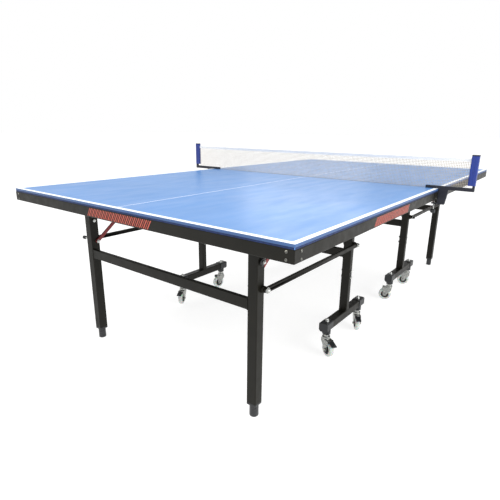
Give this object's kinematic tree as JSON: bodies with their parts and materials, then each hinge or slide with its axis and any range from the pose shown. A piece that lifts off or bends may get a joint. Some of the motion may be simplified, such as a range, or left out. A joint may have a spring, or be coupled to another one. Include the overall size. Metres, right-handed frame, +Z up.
{
  "type": "ping pong table",
  "caption": "Folding ping pong table on wheeled carriages: blue top in two hinged halves, steel legs, link rods, lock bars and a clamp-on net.",
  "frame": {"origin": "on the floor, under the middle of the net line", "axes": "+X across the table, +Y along it from the near half to the far half, +Z up"},
  "size_m": [1.852, 2.744, 0.93],
  "materials": {
    "board_blue": "painted fibreboard, satin blue",
    "frame_steel": "satin powder coat, brownish black",
    "zinc": "bright zinc plate",
    "black_plastic": "moulded black",
    "foot_plastic": "moulded dark grey",
    "lock_red": "satin dark red",
    "tyre": "pale translucent polyurethane",
    "net_blue": "moulded royal blue",
    "net_cloth": "knotted white net with a white tape"
  },
  "bodies": {
    "far_top": {"far_table_panel": "board_blue", "far_apron_rails": "frame_steel", "far_hinge_rails": "frame_steel", "far_hinge_bolts": "zinc", "far_corner_screws": "zinc"},
    "far_carriage": {"far_t_frames": "frame_steel", "far_crossbeam": "frame_steel", "far_end_sockets": "black_plastic", "far_carriage_bolts": "zinc"},
    "far_legs": {"far_legs": "frame_steel", "far_leg_crossbar": "frame_steel", "far_leg_bolts": "zinc"},
    "far_links": {"far_link_rods": "frame_steel"},
    "far_locks": {"far_lock_bars": "lock_red"},
    "near_top": {"near_table_panel": "board_blue", "near_apron_rails": "frame_steel", "near_hinge_rails": "frame_steel", "near_hinge_bolts": "zinc", "near_corner_screws": "zinc", "net_mesh": "net_cloth", "net_brackets": "frame_steel", "net_sleeves": "net_blue", "net_caps": "black_plastic"},
    "near_carriage": {"near_t_frames": "frame_steel", "near_crossbeam": "frame_steel", "near_end_sockets": "black_plastic", "near_carriage_bolts": "zinc"},
    "near_legs": {"near_legs": "frame_steel", "near_leg_crossbar": "frame_steel", "near_leg_bolts": "zinc"},
    "near_links": {"near_link_rods": "frame_steel"},
    "near_locks": {"near_lock_bars": "lock_red"},
    "near_left_foot": {"near_left_foot": "foot_plastic"},
    "near_right_foot": {"near_right_foot": "foot_plastic"},
    "far_left_foot": {"far_left_foot": "foot_plastic"},
    "far_right_foot": {"far_right_foot": "foot_plastic"},
    "near_right_outer_fork": {"near_right_outer_fork": "zinc"},
    "near_right_outer_wheel": {"near_right_outer_wheel": "tyre"},
    "near_right_outer_brake": {"near_right_outer_brake": "black_plastic"},
    "near_right_inner_fork": {"near_right_inner_fork": "zinc"},
    "near_right_inner_wheel": {"near_right_inner_wheel": "tyre"},
    "near_right_inner_brake": {"near_right_inner_brake": "black_plastic"},
    "near_left_outer_fork": {"near_left_outer_fork": "zinc"},
    "near_left_outer_wheel": {"near_left_outer_wheel": "tyre"},
    "near_left_outer_brake": {"near_left_outer_brake": "black_plastic"},
    "near_left_inner_fork": {"near_left_inner_fork": "zinc"},
    "near_left_inner_wheel": {"near_left_inner_wheel": "tyre"},
    "far_right_inner_fork": {"far_right_inner_fork": "zinc"},
    "far_right_inner_wheel": {"far_right_inner_wheel": "tyre"},
    "far_right_outer_fork": {"far_right_outer_fork": "zinc"},
    "far_right_outer_wheel": {"far_right_outer_wheel": "tyre"},
    "far_left_inner_fork": {"far_left_inner_fork": "zinc"},
    "far_left_inner_wheel": {"far_left_inner_wheel": "tyre"},
    "far_left_outer_fork": {"far_left_outer_fork": "zinc"},
    "far_left_outer_wheel": {"far_left_outer_wheel": "tyre"},
    "net_left_pad": {"net_left_pad": "black_plastic"},
    "net_left_screw": {"net_left_screw": "black_plastic"},
    "net_right_pad": {"net_right_pad": "black_plastic"},
    "net_right_screw": {"net_right_screw": "black_plastic"}
  },
  "joints": [
    {"name": "near_roll", "type": "slide", "parent": "far_carriage", "child": "near_carriage", "axis": [0, -1, 0], "range_m": [0, 0.4]},
    {"name": "near_fold", "type": "hinge", "parent": "near_carriage", "child": "near_top", "pos_m": [0, -0.42, 0.712], "axis": [-1, 0, 0], "range_deg": [0, 90]},
    {"name": "near_leg_fold", "type": "hinge", "parent": "near_top", "child": "near_legs", "pos_m": [0, -1.158, 0.712], "axis": [1, 0, 0], "range_deg": [0, 90]},
    {"name": "near_link_swing", "type": "hinge", "parent": "near_carriage", "child": "near_links", "pos_m": [0, -0.42, 0.512], "axis": [-1, 0, 0], "range_deg": [0, 90]},
    {"name": "near_lock_swing", "type": "hinge", "parent": "near_legs", "child": "near_locks", "pos_m": [0, -1.158, 0.512], "axis": [-1, 0, 0], "range_deg": [0, 128.1]},
    {"name": "near_left_foot_turn", "type": "hinge", "parent": "near_legs", "child": "near_left_foot", "pos_m": [-0.49, -1.165, 0.02], "axis": [0, 0, 1], "range_deg": [0, 3600]},
    {"name": "near_right_foot_turn", "type": "hinge", "parent": "near_legs", "child": "near_right_foot", "pos_m": [0.49, -1.165, 0.02], "axis": [0, 0, 1], "range_deg": [0, 3600]},
    {"name": "far_fold", "type": "hinge", "parent": "far_carriage", "child": "far_top", "pos_m": [0, 0.42, 0.712], "axis": [1, 0, 0], "range_deg": [0, 90]},
    {"name": "far_leg_fold", "type": "hinge", "parent": "far_top", "child": "far_legs", "pos_m": [0, 1.158, 0.712], "axis": [-1, 0, 0], "range_deg": [0, 90]},
    {"name": "far_link_swing", "type": "hinge", "parent": "far_carriage", "child": "far_links", "pos_m": [0, 0.42, 0.512], "axis": [1, 0, 0], "range_deg": [0, 90]},
    {"name": "far_lock_swing", "type": "hinge", "parent": "far_legs", "child": "far_locks", "pos_m": [0, 1.158, 0.512], "axis": [1, 0, 0], "range_deg": [0, 128.1]},
    {"name": "far_left_foot_turn", "type": "hinge", "parent": "far_legs", "child": "far_left_foot", "pos_m": [-0.49, 1.165, 0.02], "axis": [0, 0, 1], "range_deg": [0, 3600]},
    {"name": "far_right_foot_turn", "type": "hinge", "parent": "far_legs", "child": "far_right_foot", "pos_m": [0.49, 1.165, 0.02], "axis": [0, 0, 1], "range_deg": [0, 3600]},
    {"name": "near_right_outer_swivel", "type": "hinge", "parent": "near_carriage", "child": "near_right_outer_fork", "pos_m": [0.49, -0.5985, 0.1], "axis": [0, 0, 1], "continuous": true},
    {"name": "near_right_outer_spin", "type": "hinge", "parent": "near_right_outer_fork", "child": "near_right_outer_wheel", "pos_m": [0.50905, -0.6095, 0.0375], "axis": [0.5, 0.866, 0], "continuous": true},
    {"name": "near_right_outer_brake_press", "type": "hinge", "parent": "near_right_outer_fork", "child": "near_right_outer_brake", "pos_m": [0.52074, -0.61625, 0.0795], "axis": [0.5, 0.866, 0], "range_deg": [0, 12]},
    {"name": "near_right_inner_swivel", "type": "hinge", "parent": "near_carriage", "child": "near_right_inner_fork", "pos_m": [0.49, -0.2475, 0.1], "axis": [0, 0, 1], "continuous": true},
    {"name": "near_right_inner_spin", "type": "hinge", "parent": "near_right_inner_fork", "child": "near_right_inner_wheel", "pos_m": [0.5023, -0.26574, 0.0375], "axis": [0.829, 0.5592, 0], "continuous": true},
    {"name": "near_right_inner_brake_press", "type": "hinge", "parent": "near_right_inner_fork", "child": "near_right_inner_brake", "pos_m": [0.50985, -0.27693, 0.0795], "axis": [0.829, 0.5592, 0], "range_deg": [0, 12]},
    {"name": "near_left_outer_swivel", "type": "hinge", "parent": "near_carriage", "child": "near_left_outer_fork", "pos_m": [-0.49, -0.5985, 0.1], "axis": [0, 0, 1], "continuous": true},
    {"name": "near_left_outer_spin", "type": "hinge", "parent": "near_left_outer_fork", "child": "near_left_outer_wheel", "pos_m": [-0.48001, -0.6181, 0.0375], "axis": [0.891, 0.454, 0], "continuous": true},
    {"name": "near_left_outer_brake_press", "type": "hinge", "parent": "near_left_outer_fork", "child": "near_left_outer_brake", "pos_m": [-0.47388, -0.63013, 0.0795], "axis": [0.891, 0.454, 0], "range_deg": [0, 12]},
    {"name": "near_left_inner_swivel", "type": "hinge", "parent": "near_carriage", "child": "near_left_inner_fork", "pos_m": [-0.49, -0.2475, 0.1], "axis": [0, 0, 1], "continuous": true},
    {"name": "near_left_inner_spin", "type": "hinge", "parent": "near_left_inner_fork", "child": "near_left_inner_wheel", "pos_m": [-0.49495, -0.26894, 0.0375], "axis": [0.9744, -0.225, 0], "continuous": true},
    {"name": "far_right_inner_swivel", "type": "hinge", "parent": "far_carriage", "child": "far_right_inner_fork", "pos_m": [0.49, 0.2475, 0.1], "axis": [0, 0, 1], "continuous": true},
    {"name": "far_right_inner_spin", "type": "hinge", "parent": "far_right_inner_fork", "child": "far_right_inner_wheel", "pos_m": [0.46875, 0.24181, 0.0375], "axis": [0.2588, -0.9659, 0], "continuous": true},
    {"name": "far_right_outer_swivel", "type": "hinge", "parent": "far_carriage", "child": "far_right_outer_fork", "pos_m": [0.49, 0.5985, 0.1], "axis": [0, 0, 1], "continuous": true},
    {"name": "far_right_outer_spin", "type": "hinge", "parent": "far_right_outer_fork", "child": "far_right_outer_wheel", "pos_m": [0.46933, 0.59098, 0.0375], "axis": [0.342, -0.9397, 0], "continuous": true},
    {"name": "far_left_inner_swivel", "type": "hinge", "parent": "far_carriage", "child": "far_left_inner_fork", "pos_m": [-0.49, 0.2475, 0.1], "axis": [0, 0, 1], "continuous": true},
    {"name": "far_left_inner_spin", "type": "hinge", "parent": "far_left_inner_fork", "child": "far_left_inner_wheel", "pos_m": [-0.48248, 0.22683, 0.0375], "axis": [0.9397, 0.342, 0], "continuous": true},
    {"name": "far_left_outer_swivel", "type": "hinge", "parent": "far_carriage", "child": "far_left_outer_fork", "pos_m": [-0.49, 0.5985, 0.1], "axis": [0, 0, 1], "continuous": true},
    {"name": "far_left_outer_spin", "type": "hinge", "parent": "far_left_outer_fork", "child": "far_left_outer_wheel", "pos_m": [-0.50414, 0.58165, 0.0375], "axis": [0.766, -0.6428, 0], "continuous": true},
    {"name": "net_left_clamp", "type": "slide", "parent": "near_top", "child": "net_left_pad", "axis": [0, 0, -1], "range_m": [0, 0.0101]},
    {"name": "net_left_screw_turn", "type": "hinge", "parent": "net_left_pad", "child": "net_left_screw", "pos_m": [-0.749, -0.012, 0.66], "axis": [0, 0, 1], "range_deg": [0, 2880]},
    {"name": "net_right_clamp", "type": "slide", "parent": "near_top", "child": "net_right_pad", "axis": [0, 0, -1], "range_m": [0, 0.0101]},
    {"name": "net_right_screw_turn", "type": "hinge", "parent": "net_right_pad", "child": "net_right_screw", "pos_m": [0.749, -0.012, 0.66], "axis": [0, 0, 1], "range_deg": [0, 2880]}
  ],
  "couplings": [
    {"joint": "near_leg_fold", "follows": "near_fold", "ratio": 1},
    {"joint": "near_link_swing", "follows": "near_fold", "ratio": 1},
    {"joint": "near_lock_swing", "follows": "near_fold", "ratio": 1.4233},
    {"joint": "far_leg_fold", "follows": "far_fold", "ratio": 1},
    {"joint": "far_link_swing", "follows": "far_fold", "ratio": 1},
    {"joint": "far_lock_swing", "follows": "far_fold", "ratio": 1.4233},
    {"joint": "near_roll", "follows": "near_fold", "m_per_rad": 0.25},
    {"joint": "net_left_clamp", "follows": "net_left_screw_turn", "m_per_rad": 0.00019894},
    {"joint": "net_right_clamp", "follows": "net_right_screw_turn", "m_per_rad": 0.00019894}
  ]
}
